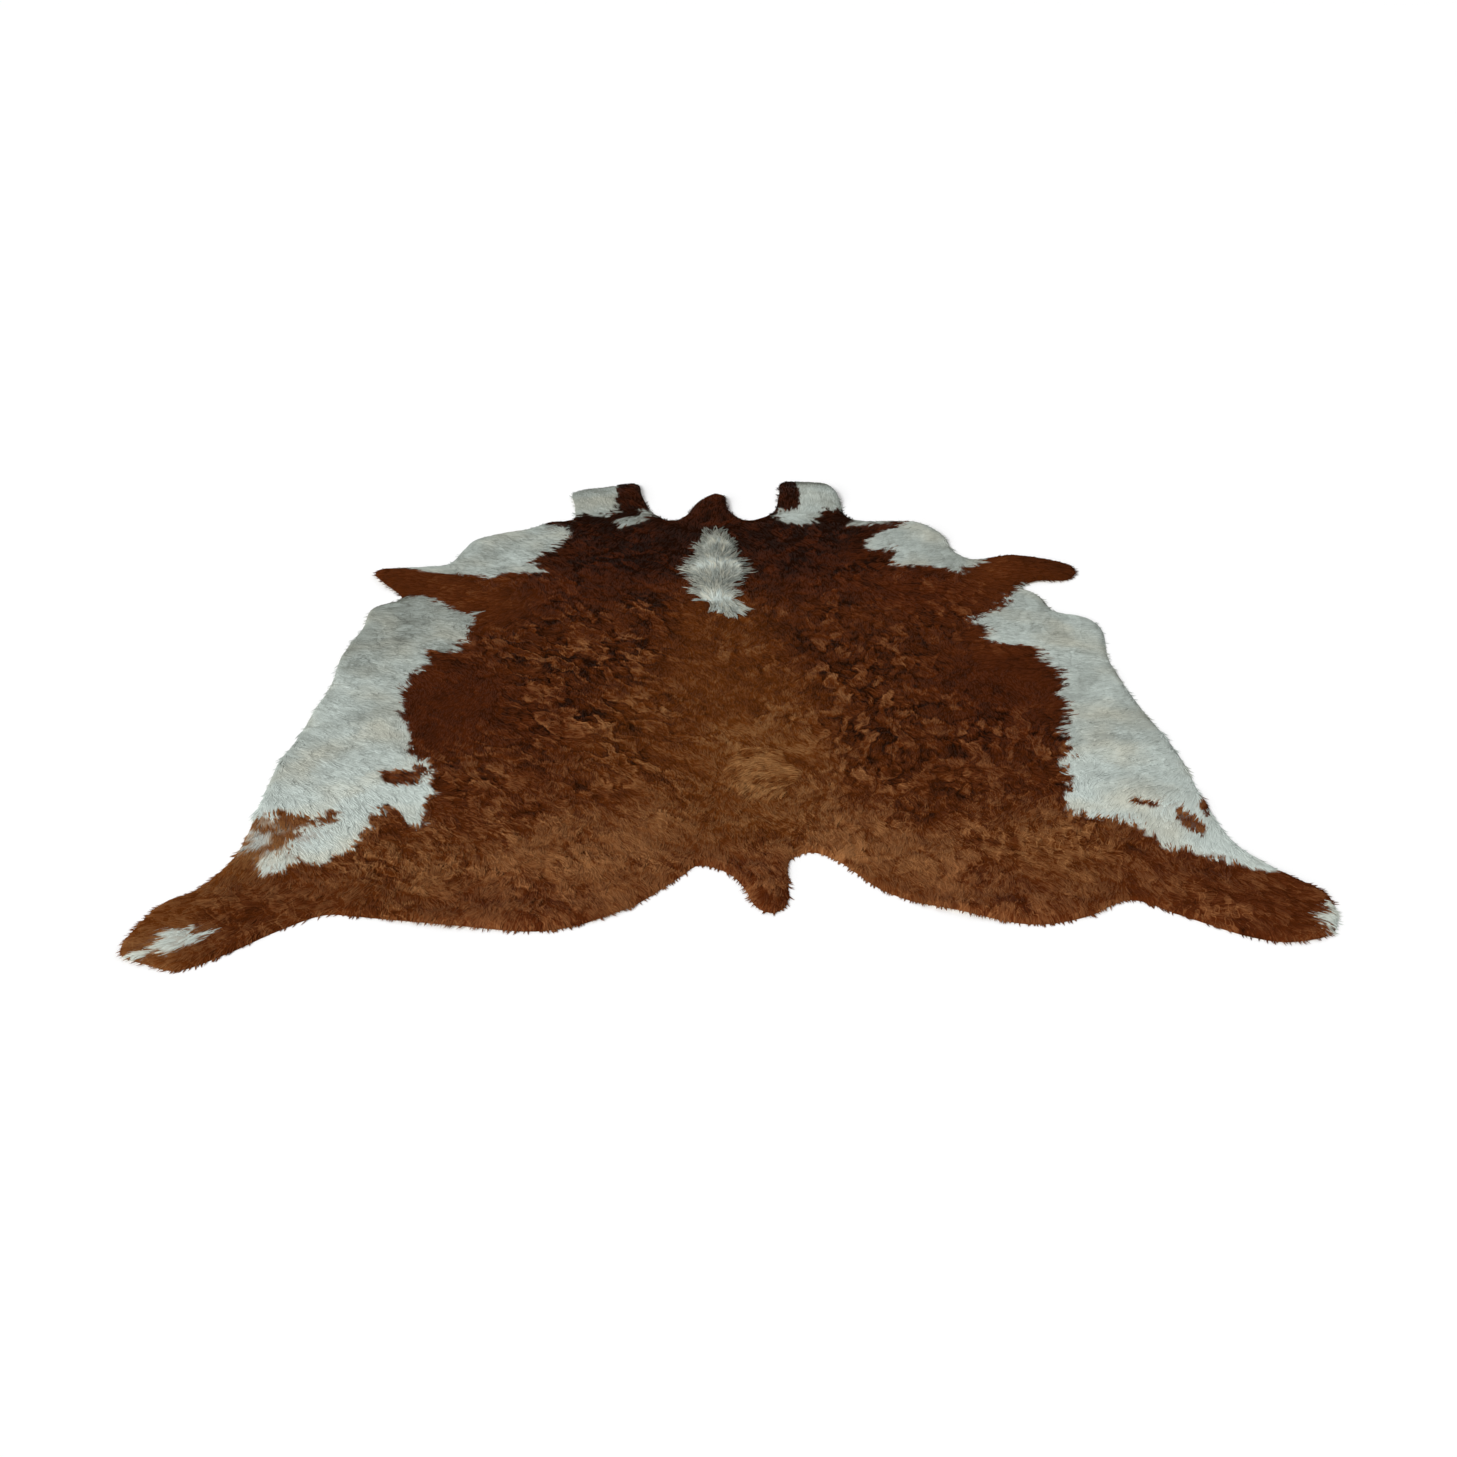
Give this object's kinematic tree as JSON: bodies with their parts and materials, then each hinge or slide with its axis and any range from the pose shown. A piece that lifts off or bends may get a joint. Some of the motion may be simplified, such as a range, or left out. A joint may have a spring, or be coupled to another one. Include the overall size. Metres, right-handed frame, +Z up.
{
  "type": "cowhide rug",
  "caption": "Whole hair-on cattle hide laid flat as a floor rug, red-brown down the back with white belly edges.",
  "frame": {"origin": "on the floor under the middle of the hide, half way across and half way along", "axes": "+X across the hide, to the right as seen from the tail; +Y along the spine towards the neck; +Z up"},
  "size_m": [2.1944, 2.1334, 0.0233],
  "materials": {
    "cattle_hair": "dull, slightly silky cattle hair, red-brown with white belly edges, on tanned leather"
  },
  "bodies": {
    "root": {"hide": "cattle_hair"}
  },
  "joints": []
}
